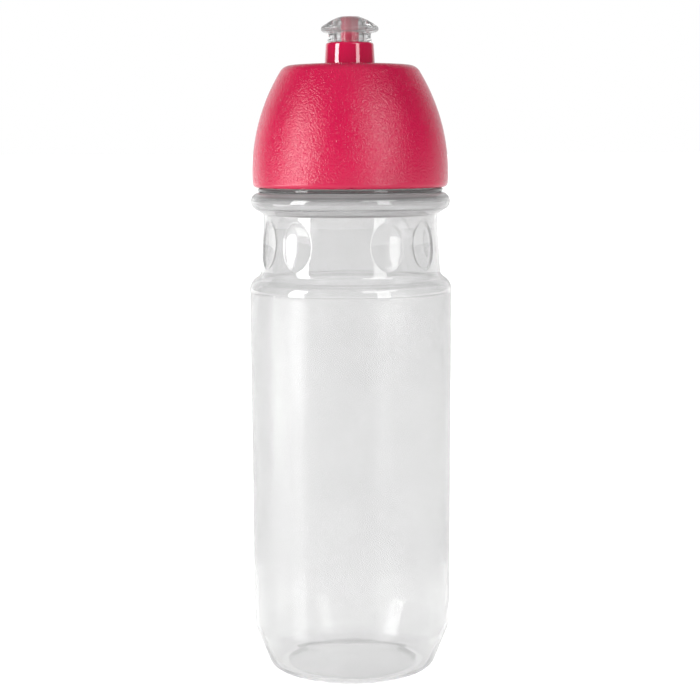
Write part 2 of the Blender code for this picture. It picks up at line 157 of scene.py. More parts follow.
# Spout core
COLLAR_BOTTOM_RADIUS = 0.00905
COLLAR_TOP_RADIUS = 0.0087
COLLAR_TOP_Z = 0.2300
COLLAR_ARC = 0.0009
COLLAR_BORE_RADIUS = 0.0070
COLLAR_RELIEF_RADIUS = 0.0079
COLLAR_LEDGE_Z = 0.2258
COLLAR_CHAMFER = 0.0003
COLLAR_FOOT_RISE = 0.0012
POST_ROUNDING = 0.0003
FLANGE_RADIUS = 0.01315
FLANGE_BOTTOM_Z = SNAP_LIP_Z + GAP
FLANGE_TOP_Z = 0.2190
SPOUT_TUBE_RADIUS = 0.0096
SPIDER_BOTTOM_Z = spout_low.z
SPIDER_TOP_Z = 0.2165
SPOKE_WIDTH = 0.0022
POST_RADIUS = 0.0033
POST_TIP_RADIUS = 0.00235
POST_SHOULDER_Z = 0.2374
POST_TIP_CONE_Z = 0.2385
POST_TOP_Z = spout_high.z
SEAL_RADIUS = 0.0112
SEAL_GROOVE_HALF_WIDTH = 0.0011
SEAL_GROOVE_Z = 0.2182

# Mouthpiece
HEAD_TOP_Z = mouth_high.z
HEAD_RADIUS = mouth_high.x
HEAD_RIM_ARC = 0.0012
HEAD_RIM_Z = 0.2349
HEAD_RIM_TOP_ANGLE = 62.0
HEAD_RIM_BOTTOM_ANGLE = -80.0
HEAD_TOP_RADIUS = 0.0036
HEAD_BULGE = 0.0003
HEAD_UNDERSIDE_RADIUS = 0.0083
HEAD_UNDERSIDE_Z = 0.2336
HOLE_RADIUS = 0.00265
SEAT_Z = 0.2386
SEAT_FOOT_RADIUS = 0.0038
SEAT_FOOT_Z = 0.2373
MOUTH_NECK_RADIUS = 0.00775
STOP_RING_RADIUS = 0.0079
STOP_RING_TOP_Z = 0.2311
SLEEVE_RADIUS = 0.0067
MOUTH_BORE_RADIUS = 0.0048
SLEEVE_BOTTOM_Z = mouth_low.z
SNAP_BEAD_RADIUS = 0.0075
SNAP_BEAD_TOP_Z = 0.2195
SNAP_BEAD_CHAMFER = 0.0006
BORE_SHOULDER = 0.0010
BORE_ROUNDING = 0.0008
FINE_EDGE = 0.0001
HEAD_UNDERSIDE_DROP = 0.0004
MOUTH_EDGE_ROUNDING = 0.00025

# Colours, linear
PINK = (0.48, 0.003, 0.051)
PINK_DARK = (0.45, 0.0025, 0.047)
CLEAR = (0.88, 0.88, 0.88)
MILK_DARK = (0.52, 0.52, 0.52)
MILK = (0.59, 0.59, 0.59)
# Painted shade: the clear and milky colours of the neck where the cap shades it, also mixed in a little
# towards the bottom
CLEAR_PAINTED_SHADE = (0.35, 0.35, 0.35)
MILK_PAINTED_SHADE = (0.34, 0.34, 0.34)
SMOKE_CLEAR = (0.80, 0.81, 0.81)
SMOKE_HEAD = (0.38, 0.39, 0.385)
SMOKE_NECK = (0.66, 0.67, 0.665)
SEAL_GREY = (0.55, 0.55, 0.54)

# Where the finish changes by height: roughness, milkiness, painted shade round the neck and a slightly
# darker base
RIM_BAND = 0.0012
SATIN_BLEND = 0.0040
SATIN_ROUGHNESS = 0.26
GLOSS_ROUGHNESS = 0.02
# Painted shade round the neck: from just below the cap up, weaker over the bead, and a dark line near the
# bead's top
SHADE_EDGE = 0.0003
UNDER_CAP_SHADE_Z = RIDGE_Z - 0.0005
BEAD_SHADE = 0.25
UPPER_BEAD_Z = (BEAD_Z + 0.0013, BEAD_Z + 0.0017, BEAD_Z + 0.0020, BEAD_Z + 0.0026)
BEAD_TOP_LINE_SHADE = 0.85
BASE_TINT = 0.07
VEIL_Z = (BEAD_Z + 0.0010, BEAD_Z + 0.0016, RIDGE_Z - 0.0010, RIDGE_Z - 0.0007)
VEIL_SHARE = 0.20
MILKINESS = (0.20, 0.24)
CLEAR_BASE_TOP_Z = 0.0500
CLEAR_BASE_SHARE = 0.65
HEEL_SHARE = 0.10
NECK_SMOKE_SHARE = 0.04
HEAD_SMOKE_SHARE = 0.28
LAMP_LIGHT_THROUGH = 0.85

# Camera and studio
ROOM_STRENGTH = 0.13
BACKDROP_STRENGTH = 0.95
BACKDROP_EDGE = (0.62, 0.88)
FLOOR_SIZE = 60.0
FLOOR_GREY = (0.40, 0.40, 0.40, 1.0)
FLOOR_GLOW = 0.86
LAMP_TARGET_Z = 0.7 * NECK_TOP_Z
CAMERA_BEARING = 6.3
CAMERA_DISTANCE = 0.6529
CAMERA_HEIGHT = 0.1939
CAMERA_PITCH = 6.614
CAMERA_ROLL = -0.24
CAMERA_LENS = 91.70
CAMERA_SHIFT_X = -0.0014
SENSOR_WIDTH = 36.0


def arc(centre, radius, start_deg, end_deg, steps):
    """Points along a circle, both ends included."""
    angles = np.radians(np.linspace(start_deg, end_deg, steps + 1))
    return [(centre[0] + radius * math.cos(a), centre[1] + radius * math.sin(a)) for a in angles]


def line(start, end, steps):
    """Points from start to end, without start."""
    shares = [step / steps for step in range(1, steps + 1)]
    return [(start[0] + (end[0] - start[0]) * s, start[1] + (end[1] - start[1]) * s) for s in shares]


def rounded(points, radius, steps=4):
    """An open outline with its inner corners rounded, each by at most the given radius."""
    result = [points[0]]
    for before, corner, after in zip(points, points[1:], points[2:]):
        corner = np.array(corner)
        arms = [np.array(end) - corner for end in (before, after)]
        lengths = [np.linalg.norm(arm) for arm in arms]
        reach = min(radius, 0.45 * min(lengths))
        start, end = (corner + arm / length * reach for arm, length in zip(arms, lengths))
        for step in range(steps + 1):
            share = step / steps
            point = (1 - share) ** 2 * start + 2 * share * (1 - share) * corner + share**2 * end
            result.append((float(point[0]), float(point[1])))
    result.append(points[-1])
    return result


def offset_outline(points, distance):
    """An outline that starts on the axis, moved to the left of its run, and further at the heel."""
    path = np.array(points)
    runs = np.diff(path, axis=0)
    runs /= np.linalg.norm(runs, axis=1)[:, None]
    normals = np.stack([-runs[:, 1], runs[:, 0]], axis=1)
    normals = np.concatenate([normals[:1], normals[:-1] + normals[1:], normals[-1:]])
    normals /= np.linalg.norm(normals, axis=1)[:, None]
    heel = HEEL_EXTRA * smoothstep((HEEL_TOP_Z - path[:, 1]) / HEEL_TOP_Z)
    moved = path + normals * (distance + heel)[:, None]
    moved[:, 0] = np.maximum(moved[:, 0], 0.0)
    moved[0] = (0.0, points[0][1] + distance + heel[0])
    return [tuple(map(float, point)) for point in moved]


def smoothstep(value):
    """0 below 0, 1 above 1, and smooth between."""
    clipped = np.clip(value, 0.0, 1.0)
    return clipped * clipped * (3.0 - 2.0 * clipped)


def round_steps(segments):
    """Even bearings once round the axis."""
    return np.arange(segments) * math.tau / segments


def bottle_steps():
    """Bearings once round the bottle, closer together across the dimples."""
    reach = math.degrees(DIMPLE_HALF_WIDTH / WAIST_TOP_RADIUS) + BODY_STEP / 2
    bearings = []
    bearing = -180.0
    while bearing < 180.0 - DIMPLE_STEP / 2:
        bearings.append(bearing)
        near = any(abs(abs(bearing) - centre) < reach for centre in DIMPLE_ANGLES)
        bearing += DIMPLE_STEP if near else BODY_STEP
    return np.radians(np.array(bearings) - 90.0)


def revolve(name, outline, bearing, closed, shape=None):
    """Turn an outline about Z.  It runs up its inner side and down its outer side.

    An open outline starts and ends on the axis.  shape(bearing, radius, height, row)
    gives the place of each point, for what isn't round.
    """
    path = np.array(outline)
    rows = path if closed else path[1:-1]
    segments = len(bearing)
    radius = np.repeat(rows[:, :1], segments, axis=1)
    height = np.repeat(rows[:, 1:], segments, axis=1)
    turn = np.repeat(bearing[None, :], len(rows), axis=0)
    if shape is not None:
        row = np.repeat(np.arange(len(rows))[:, None], segments, axis=1)
        radius, height = shape(turn, radius, height, row)
    points = np.stack([radius * np.cos(turn), radius * np.sin(turn), height], axis=-1)
    vertices = points.reshape(-1, 3).tolist()
    count = len(rows)
    faces = []
    for index in range(count if closed else count - 1):
        first = index * segments
        second = (index + 1) % count * segments
        for column in range(segments):
            after = (column + 1) % segments
            faces.append((first + column, second + column, second + after, first + after))
    if not closed:
        for row_start, pole, flip in ((0, path[0], False), ((count - 1) * segments, path[-1], True)):
            vertices.append((0.0, 0.0, float(pole[1])))
            tip = len(vertices) - 1
            for column in range(segments):
                after = (column + 1) % segments
                edge = (row_start + column, row_start + after)
                faces.append((tip, *(edge if not flip else edge[::-1])))
    mesh = bpy.data.meshes.new(name)
    mesh.from_pydata(vertices, [], faces)
    mesh.shade_smooth()
    mesh.set_sharp_from_angle(angle=math.radians(50.0))
    made = bpy.data.objects.new(name, mesh)
    bpy.context.scene.collection.objects.link(made)
    return made


def thread_height(turn, height, start_z, turns):
    """How much of a helical ridge stands at a bearing and a height, from 0 to 1."""
    flank = (THREAD_BASE_WIDTH - THREAD_CREST_WIDTH) / 2
    standing = np.zeros_like(height)
    for whole in range(math.ceil(turns) + 1):
        along = turn / math.tau + whole
        away = np.abs(height - start_z - THREAD_LEAD * along)
        ridge = smoothstep((THREAD_BASE_WIDTH / 2 - away) / flank)
        run_out = smoothstep(along / THREAD_RUN_OUT_TURNS)
        run_out = run_out * smoothstep((turns - along) / THREAD_RUN_OUT_TURNS)
        standing = np.maximum(standing, ridge * run_out)
    return standing


def bottle_skin():
    """The skin from the middle of the base up to the neck's rim, and the row where the neck starts."""
    cone = BASE_CONE_ANGLE
    push_up_foot = (RING_INNER_RADIUS - RING_INNER_ARC, RING_INNER_ARC * 0.55)
    points = [(0.0, PUSH_UP_HEIGHT)]
    for step in range(1, 11):
        share = step / 10
        drop = (PUSH_UP_HEIGHT - push_up_foot[1]) * share**2.6
        points.append((push_up_foot[0] * share, PUSH_UP_HEIGHT - drop))
    ring = [push_up_foot, (RING_INNER_RADIUS - RING_INNER_FLAT, 0.0), (RING_INNER_RADIUS, 0.0)]
    points += rounded(ring, RING_ROUNDING)[1:]
    points += arc((RING_OUTER_RADIUS, BASE_EDGE_ARC), BASE_EDGE_ARC, -90.0, -cone, 9)
    base_top = arc((BODY_BOTTOM_RADIUS - BASE_TOP_ARC, BODY_BOTTOM_Z), BASE_TOP_ARC, -cone, 0.0, 6)
    points += base_top
    panel_head = (BODY_TOP_RADIUS - PANEL_RECESS, PANEL_TOP_Z - PANEL_STEP)
    points += [(BODY_BOTTOM_RADIUS, PANEL_BOTTOM_Z)]
    points += line(points[-1], (panel_head[0], panel_head[1] - PANEL_EDGE), 4)
    points += [panel_head, (BODY_TOP_RADIUS, PANEL_TOP_Z), (BODY_TOP_RADIUS, PANEL_TOP_Z + PANEL_EDGE)]
    shoulder_centre = (BODY_TOP_RADIUS - SHOULDER_ARC, BODY_TOP_Z)
    shoulder = arc(shoulder_centre, SHOULDER_ARC, 0.0, SHOULDER_ANGLE, 10)
    turn = math.radians(SHOULDER_ANGLE)
    foot_centre = (
        shoulder[-1][0] + SHOULDER_FOOT_ARC * math.cos(turn),
        shoulder[-1][1] + SHOULDER_FOOT_ARC * math.sin(turn),
    )
    foot = arc(foot_centre, SHOULDER_FOOT_ARC, 180.0 + SHOULDER_ANGLE, 180.0, 8)
    points += shoulder + foot[1:]
    points += line(foot[-1], (WAIST_TOP_RADIUS, WAIST_TAPER_TOP_Z), 36)
    bead = arc((BEAD_RADIUS, BEAD_Z), BEAD_ARC, BEAD_FOOT_ANGLE, BEAD_TOP_ANGLE, 16)
    waist_end = (WAIST_TOP_RADIUS, WAIST_TOP_Z)
    points += line(points[-1], (WAIST_TOP_RADIUS, WAIST_TOP_Z - BEAD_FILLET), 6)
    points += rounded([points[-1], waist_end, bead[0]], BEAD_FILLET)[1:-1] + bead
    neck_foot = len(points)
    points += [(NECK_RADIUS, RIDGE_Z)]
    return points, neck_foot


def bottle_outline():
    """Inner side from the base up, over the rim, then the outer side down to the base."""
    skin, neck_foot = bottle_skin()
    rim_arc = WALL / 2
    inner = offset_outline(skin, WALL)[:neck_foot]
    neck_inner = [(NECK_RADIUS - WALL, NECK_INNER_FOOT_Z), (NECK_RADIUS - WALL, NECK_INNER_STRAIGHT_Z)]
    inner += rounded([inner[-1], *neck_inner], NECK_INNER_ROUNDING)[1:]
    inner += line(inner[-1], (NECK_RADIUS - WALL, NECK_TOP_Z - rim_arc), 2)
    rim = arc((NECK_RADIUS - rim_arc, NECK_TOP_Z - rim_arc), rim_arc, 180.0, 0.0, 8)[1:]
    ridge = [
        (NECK_RADIUS, RIDGE_Z + 2 * RIDGE_HALF_WIDTH),
        (RIDGE_RADIUS, RIDGE_Z + RIDGE_HALF_WIDTH),
        (RIDGE_RADIUS, RIDGE_Z - RIDGE_HALF_WIDTH / 2),
        (RIDGE_RADIUS - RIDGE_HALF_WIDTH, RIDGE_Z - RIDGE_HALF_WIDTH),
    ]
    neck = line(rim[-1], ridge[0], 38)
    outer_bead = list(reversed(skin[:neck_foot]))
    ridge_rounded = rounded([neck[-2], *ridge, outer_bead[0], outer_bead[1]], RIDGE_ROUNDING, 3)[1:-1]
    return inner, rim + neck[:-2] + ridge_rounded + outer_bead[1:]


def bottle_shape(inner_rows):
    """The change of radius round the bottle: dimples, neck thread and mould seam."""

    def shape(turn, radius, height, row):
        outside = row >= inner_rows
        bearing = np.degrees(np.arctan2(np.cos(turn), -np.sin(turn)))
        inset = np.zeros_like(radius)
        for centre in DIMPLE_ANGLES:
            across = np.radians(np.abs(bearing) - centre) * WAIST_TOP_RADIUS / DIMPLE_HALF_WIDTH
            along = (height - DIMPLE_Z) / DIMPLE_HALF_HEIGHT
            depth = 1.0 - across**2 - along**2
            hollow = DIMPLE_HOLLOW * np.maximum(depth, 0.0)
            hollow = hollow + DIMPLE_STEP_DEPTH * smoothstep(depth / DIMPLE_STEP_WIDTH)
            inset = np.maximum(inset, hollow * (radius > DIMPLE_HALF_WIDTH))
        near = np.abs(height - DIMPLE_Z) < DIMPLE_REACH * DIMPLE_HALF_HEIGHT
        radius = radius - inset * near
        thread = thread_height(turn, height, THREAD_START_Z, NECK_THREAD_TURNS)
        on_neck = outside & (height > RIDGE_Z + 2 * RIDGE_HALF_WIDTH)
        radius = radius + NECK_THREAD_HEIGHT * thread * on_neck
        from_seam = np.abs(np.abs(bearing) - 90.0)
        on_skin = outside & (radius > RING_OUTER_RADIUS) & (height < NECK_TOP_Z - WALL)
        radius = radius + SEAM_HEIGHT * (from_seam < SEAM_HALF_WIDTH_DEG) * on_skin
        return radius, height

    return shape


def make_bottle():
    """The blown bottle, its wall of one thickness open at the neck."""
    inner, outer = bottle_outline()
    bottle = revolve("bottle_shell", inner + outer, bottle_steps(), False, bottle_shape(len(inner) - 1))
    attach(bottle, "bottle")
    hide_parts("bottle_body")
    return bottle


def cap_outline():
    """Crown and flank down the outside, then the thread wall, ledge, dome and skirt inside."""
    flank_centre = (CAP_RADIUS - CAP_FLANK_ARC, CAP_WIDEST_Z)
    corner_z = CAP_CROWN_Z - CAP_CROWN_DROP - CAP_CORNER_ARC
    reach = CAP_FLANK_ARC - CAP_CORNER_ARC
    rise = math.asin((corner_z - CAP_WIDEST_Z) / reach)
    corner_centre = (flank_centre[0] + reach * math.cos(rise), corner_z)
    lean = math.degrees(rise)
    hole = COLLAR_BOTTOM_RADIUS + GAP / 2
    crown_inner_z = CAP_CROWN_Z - CAP_WALL
    outside = [(hole, CAP_CROWN_Z - CAP_HOLE_CHAMFER[1]), (hole + CAP_HOLE_CHAMFER[0], CAP_CROWN_Z)]
    crown_run = corner_centre[0] - outside[-1][0]
    for step in range(1, 13):
        share = step / 12
        outside.append((outside[1][0] + crown_run * share, CAP_CROWN_Z - CAP_CROWN_DROP * share**2))
    outside += arc(corner_centre, CAP_CORNER_ARC, 88.0, lean, 14)
    outside += arc(flank_centre, CAP_FLANK_ARC, lean, 0.0, 40)[1:]
    rim_centre = (CAP_RADIUS - CAP_RIM_ARC - CAP_RIM_INSET, CAP_RIM_Z + CAP_RIM_ARC)
    outside += arc(rim_centre, CAP_RIM_ARC, 0.0, -90.0, 10)
    inner_arc = CAP_FLANK_ARC - CAP_WALL
    ledge_lean = math.degrees(math.asin((LEDGE_TOP_Z - CAP_WIDEST_Z) / inner_arc))
    wall = CAP_THREAD_WALL_RADIUS
    inside = [(wall + GAP, CAP_RIM_Z), (wall, CAP_RIM_Z + 2 * GAP)]
    inside += line(inside[-1], (wall, LEDGE_Z), 56)
    inside += [(LEDGE_RADIUS, LEDGE_Z), (LEDGE_RADIUS, LEDGE_Z + LEDGE_THICKNESS)]
    inside += arc(flank_centre, inner_arc, ledge_lean, lean, 16)
    inside += arc(corner_centre, CAP_CORNER_ARC - CAP_WALL, lean, 90.0, 6)[1:]
    inside += [
        (SKIRT_OUTER_RADIUS, crown_inner_z),
        (SKIRT_OUTER_RADIUS, SKIRT_BOTTOM_Z),
        (SNAP_LIP_RADIUS + GAP, SKIRT_BOTTOM_Z),
        (SNAP_LIP_RADIUS, SNAP_LIP_Z),
        (SKIRT_INNER_RADIUS, SNAP_LIP_Z),
        (SKIRT_INNER_RADIUS, crown_inner_z),
        (hole, crown_inner_z),
    ]
    return outside, inside


def make_cap():
    """The domed cap with its inner thread and the small notch in its rim."""
    outside, inside = cap_outline()

    def shape(turn, radius, height, row):
        inner_wall = (row >= len(outside)) & (np.abs(radius - CAP_THREAD_WALL_RADIUS) < GAP / 2)
        start_z = THREAD_START_Z + THREAD_LEAD / 2
        thread = thread_height(turn, height, start_z, CAP_THREAD_TURNS)
        notch_turn = math.radians(NOTCH_BEARING - 90.0) % math.tau
        across = (turn - notch_turn) * CAP_RADIUS / NOTCH_HALF_WIDTH
        notch = np.maximum(1.0 - across**2, 0.0) * (row < len(outside)) * (height < CAP_RIM_Z + NOTCH_DEPTH)
        return radius - CAP_THREAD_HEIGHT * thread * inner_wall, height + NOTCH_DEPTH * notch

    cap = revolve("cap_dome", outside + inside, round_steps(CAP_SEGMENTS), True, shape)
    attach(cap, "cap")
    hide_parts("screw_cap")
    return cap


def joined(target, *tools):
    """Union other meshes into the target, and remove them."""
    for tool in tools:
        union = target.modifiers.new("join", "BOOLEAN")
        union.operation = "UNION"
        union.solver = "EXACT"
        union.object = tool
    bpy.context.view_layer.update()
    evaluated = target.evaluated_get(bpy.context.evaluated_depsgraph_get())
    mesh = bpy.data.meshes.new_from_object(evaluated)
    target.modifiers.clear()
    target.data = mesh
    for tool in tools:
        bpy.data.objects.remove(tool, do_unlink=True)
    mesh.shade_smooth()
    mesh.set_sharp_from_angle(angle=math.radians(40.0))
    return target


def spoke_bar(turn):
    """A bar across the collar's bore, under the post."""
    bpy.ops.mesh.primitive_cube_add(size=1.0)
    bar = bpy.context.object
    reach = (COLLAR_RELIEF_RADIUS + SPOUT_TUBE_RADIUS) / 2
    height = SPIDER_TOP_Z - SPIDER_BOTTOM_Z - 2 * GAP
    size = Matrix.Diagonal((2 * reach, SPOKE_WIDTH, height, 1.0))
    place = Matrix.Translation((0.0, 0.0, (SPIDER_TOP_Z + SPIDER_BOTTOM_Z) / 2))
    bar.data.transform(place @ Matrix.Rotation(turn, 4, "Z") @ size)
    return bar


def make_spout():
    """Collar, flange, spider and centre post, joined into one moulding."""
    collar_top_centre = (COLLAR_TOP_RADIUS - COLLAR_ARC, COLLAR_TOP_Z - COLLAR_ARC)
    outline = [
        (COLLAR_RELIEF_RADIUS, SPIDER_BOTTOM_Z),
        (COLLAR_RELIEF_RADIUS, COLLAR_LEDGE_Z),
        (COLLAR_BORE_RADIUS, COLLAR_LEDGE_Z),
        (COLLAR_BORE_RADIUS, COLLAR_TOP_Z - COLLAR_CHAMFER),
        (COLLAR_BORE_RADIUS + COLLAR_CHAMFER, COLLAR_TOP_Z),
    ]
    outline += arc(collar_top_centre, COLLAR_ARC, 90.0, 3.0, 10)
    outline += line(outline[-1], (COLLAR_BOTTOM_RADIUS, CAP_CROWN_Z + COLLAR_FOOT_RISE), 8)
    outline += [
        (COLLAR_BOTTOM_RADIUS, FLANGE_TOP_Z),
        (SEAL_RADIUS - SEAL_GROOVE_HALF_WIDTH, FLANGE_TOP_Z),
        (SEAL_RADIUS - SEAL_GROOVE_HALF_WIDTH, SEAL_GROOVE_Z),
        (SEAL_RADIUS + SEAL_GROOVE_HALF_WIDTH, SEAL_GROOVE_Z),
        (SEAL_RADIUS + SEAL_GROOVE_HALF_WIDTH, FLANGE_TOP_Z),
        (FLANGE_RADIUS, FLANGE_TOP_Z),
        (FLANGE_RADIUS, FLANGE_BOTTOM_Z),
        (SPOUT_TUBE_RADIUS, FLANGE_BOTTOM_Z),
        (SPOUT_TUBE_RADIUS, SPIDER_BOTTOM_Z),
    ]
    collar = revolve("spout_collar", outline, round_steps(SPOUT_SEGMENTS), True)
    tip = rounded([
        (0.0, SPIDER_BOTTOM_Z),
        (POST_RADIUS, SPIDER_BOTTOM_Z),
        (POST_RADIUS, POST_SHOULDER_Z),
        (POST_TIP_RADIUS, POST_TIP_CONE_Z),
        (POST_TIP_RADIUS, POST_TOP_Z),
        (0.0, POST_TOP_Z),
    ][::-1], POST_ROUNDING)
    post = revolve("post", tip, round_steps(SPOUT_SEGMENTS), False)
    spout = joined(collar, spoke_bar(math.pi / 4), spoke_bar(-math.pi / 4), post)
    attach(spout, "cap")
    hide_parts("spout_core")
    return spout


def make_mouthpiece():
    """Mushroom head over a neck, a stop ring and a sleeve that ends in a snap bead."""
    rim_centre = (HEAD_RADIUS - HEAD_RIM_ARC, HEAD_RIM_Z)
    stop_bottom = COLLAR_TOP_Z + GAP
    inner = rounded([
        (MOUTH_BORE_RADIUS, SLEEVE_BOTTOM_Z),
        (MOUTH_BORE_RADIUS, SEAT_FOOT_Z - BORE_SHOULDER),
        (SEAT_FOOT_RADIUS, SEAT_FOOT_Z),
        (HOLE_RADIUS, SEAT_Z),
        (HOLE_RADIUS, HEAD_TOP_Z - FINE_EDGE),
        (HEAD_TOP_RADIUS, HEAD_TOP_Z),
    ], BORE_ROUNDING)
    rim = arc(rim_centre, HEAD_RIM_ARC, HEAD_RIM_TOP_ANGLE, HEAD_RIM_BOTTOM_ANGLE, 12)
    for step in range(1, 12):
        share = step / 12
        radius = HEAD_TOP_RADIUS + (rim[0][0] - HEAD_TOP_RADIUS) * share
        height = HEAD_TOP_Z + (rim[0][1] - HEAD_TOP_Z) * share
        inner.append((radius, height + HEAD_BULGE * math.sin(math.pi * share)))
    outer = rounded([
        rim[-1],
        (HEAD_UNDERSIDE_RADIUS, HEAD_UNDERSIDE_Z),
        (MOUTH_NECK_RADIUS, HEAD_UNDERSIDE_Z - HEAD_UNDERSIDE_DROP),
        (MOUTH_NECK_RADIUS, STOP_RING_TOP_Z + FINE_EDGE),
        (STOP_RING_RADIUS + FINE_EDGE, STOP_RING_TOP_Z),
        (STOP_RING_RADIUS + FINE_EDGE, stop_bottom),
        (SLEEVE_RADIUS, stop_bottom),
        (SLEEVE_RADIUS, SNAP_BEAD_TOP_Z),
        (SNAP_BEAD_RADIUS, SNAP_BEAD_TOP_Z),
        (SNAP_BEAD_RADIUS, SLEEVE_BOTTOM_Z + SNAP_BEAD_CHAMFER),
        (SLEEVE_RADIUS, SLEEVE_BOTTOM_Z),
    ], MOUTH_EDGE_ROUNDING)
    mouthpiece = revolve("pull_mouthpiece", inner + rim[:-1] + outer, round_steps(SPOUT_SEGMENTS), True)
    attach(mouthpiece, "mouthpiece")
    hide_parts("mouthpiece")
    return mouthpiece


class Shader:
    """A node material, with short calls for the nodes that it uses."""

    def __init__(self, name):
        self.material = bpy.data.materials.new(name)
        self.material.use_nodes = True
        self.nodes = self.material.node_tree.nodes
        self.links = self.material.node_tree.links
        self.principled = self.nodes["Principled BSDF"]
        self.output = self.nodes["Material Output"]
        self.place = self.add("ShaderNodeTexCoord").outputs["Object"]

    def add(self, kind, **values):
        """Add a node.  A value that is a socket is linked, and any other is set."""
        made = self.nodes.new(kind)
        for name, value in values.items():
            if not isinstance(value, dict):
                setattr(made, name, value)
        for name, value in values.get("inputs", {}).items():
            self.feed(made.inputs[name], value)
        return made

    def feed(self, socket, value):
        """Link a socket to another, or set its value."""
        if isinstance(value, bpy.types.NodeSocket):
            self.links.new(value, socket)
        else:
            socket.default_value = value

    def math(self, operation, first, second=0.0, third=0.0):
        """A Math node's result."""
        return self.add(
            "ShaderNodeMath", operation=operation, inputs={0: first, 1: second, 2: third}
        ).outputs[0]

    def remap(self, value, from_low, from_high, to_low, to_high):
        """A value taken smoothly from one range to another, clamped."""
        return self.add(
            "ShaderNodeMapRange",
            interpolation_type="SMOOTHSTEP",
            inputs={0: value, 1: from_low, 2: from_high, 3: to_low, 4: to_high},
        ).outputs[0]

    def noise(self, scale, detail=3.0, roughness=0.5, distortion=0.0, place=None):
        """Noise in object space.  scale is in features a metre."""
        return self.add(
            "ShaderNodeTexNoise",
            inputs={
                "Vector": place or self.place,
                "Scale": scale,
                "Detail": detail,
                "Roughness": roughness,
                "Distortion": distortion,
            },
        ).outputs[0]

    def height(self):
        """Height above the standing ring."""
        return self.add("ShaderNodeSeparateXYZ", inputs={0: self.place}).outputs[2]

    def radius(self):
        """Distance from the bottle's axis."""
        flat = self.add(
            "ShaderNodeVectorMath", operation="MULTIPLY", inputs={0: self.place, 1: (1.0, 1.0, 0.0)}
        ).outputs[0]
        return self.add("ShaderNodeVectorMath", operation="LENGTH", inputs={0: flat}).outputs["Value"]

    def mix_colour(self, share, first, second):
        """A colour between two."""
        mix = self.add("ShaderNodeMix", data_type="RGBA")
        self.feed(mix.inputs["Factor"], share)
        self.feed(mix.inputs[6], (*first, 1.0) if isinstance(first, tuple) else first)
        self.feed(mix.inputs[7], (*second, 1.0) if isinstance(second, tuple) else second)
        return mix.outputs[2]

    def bump(self, height, distance, strength=1.0, normal=None):
        """A bump of a height field, on top of another."""
        inputs = {"Height": height, "Distance": distance, "Strength": strength}
        if normal is not None:
            inputs["Normal"] = normal
        return self.add("ShaderNodeBump", inputs=inputs).outputs[0]


def paint(piece, shader):
    """Give a piece one material."""
    piece.data.materials.clear()
    piece.data.materials.append(shader.material)


def grained_pink():
    """Polypropylene from a leather-grained mould, smooth along the rim."""
    shader = Shader("grained_pink")
    height = shader.height()
    grain_part = shader.remap(height, CAP_RIM_Z + RIM_BAND, CAP_RIM_Z + 2 * RIM_BAND, 0.0, 1.0)
    ripples = shader.noise(1600.0, 1.0, 0.4, 0.4)
    fine = shader.noise(2700.0, 1.0)
    grain = shader.math("ADD", ripples, shader.math("MULTIPLY", fine, 0.35))
    normal = shader.bump(grain, 0.00023, grain_part)
    cloud = shader.noise(60.0, 3.0)
    colour = shader.mix_colour(shader.remap(cloud, 0.35, 0.65, 0.0, 1.0), PINK_DARK, PINK)
    shader.feed(shader.principled.inputs["Base Color"], colour)
    rough = shader.remap(shader.noise(250.0, 2.0), 0.3, 0.7, 0.18, 0.23)
    shader.feed(shader.principled.inputs["Roughness"], rough)
    shader.feed(shader.principled.inputs["Normal"], normal)
    return shader


def gloss_pink():
    """The same plastic from a polished mould."""
    shader = Shader("gloss_pink")
    peel = shader.noise(420.0, 2.0)
    cloud = shader.noise(90.0, 2.0)
    shader.feed(shader.principled.inputs["Base Color"], shader.mix_colour(cloud, PINK_DARK, PINK))
    rough = shader.remap(shader.noise(900.0, 2.0), 0.3, 0.7, 0.03, 0.06)
    shader.feed(shader.principled.inputs["Roughness"], rough)
    shader.feed(shader.principled.inputs["Normal"], shader.bump(peel, 0.00006, 0.5))
    shader.principled.inputs["IOR"].default_value = 1.75
    return shader


def lets_lamps_through(shader, surface, share):
    """Light from the lamps passes the thin wall, so that it casts only a faint shadow."""
    clear = shader.add("ShaderNodeBsdfTransparent", inputs={"Color": (0.93, 0.93, 0.93, 1.0)})
    ray = shader.add("ShaderNodeLightPath").outputs["Is Shadow Ray"]
    mix = shader.add("ShaderNodeMixShader", inputs={0: shader.math("MULTIPLY", ray, share)})
    shader.links.new(surface, mix.inputs[1])
    shader.links.new(clear.outputs[0], mix.inputs[2])
    shader.links.new(mix.outputs[0], shader.output.inputs["Surface"])


def haze(shader, surface, colour, share, normal):
    """Mix in the milkiness of a plastic that scatters some light, on both sides of its wall."""
    front = shader.add("ShaderNodeBsdfDiffuse", inputs={"Color": colour, "Normal": normal})
    through = shader.add("ShaderNodeBsdfTranslucent", inputs={"Color": colour, "Normal": normal})
    milk = shader.add("ShaderNodeMixShader", inputs={0: 0.5})
    shader.links.new(front.outputs[0], milk.inputs[1])
    shader.links.new(through.outputs[0], milk.inputs[2])
    mixed = shader.add("ShaderNodeMixShader", inputs={0: share})
    shader.links.new(surface, mixed.inputs[1])
    shader.links.new(milk.outputs[0], mixed.inputs[2])
    return mixed.outputs[0]


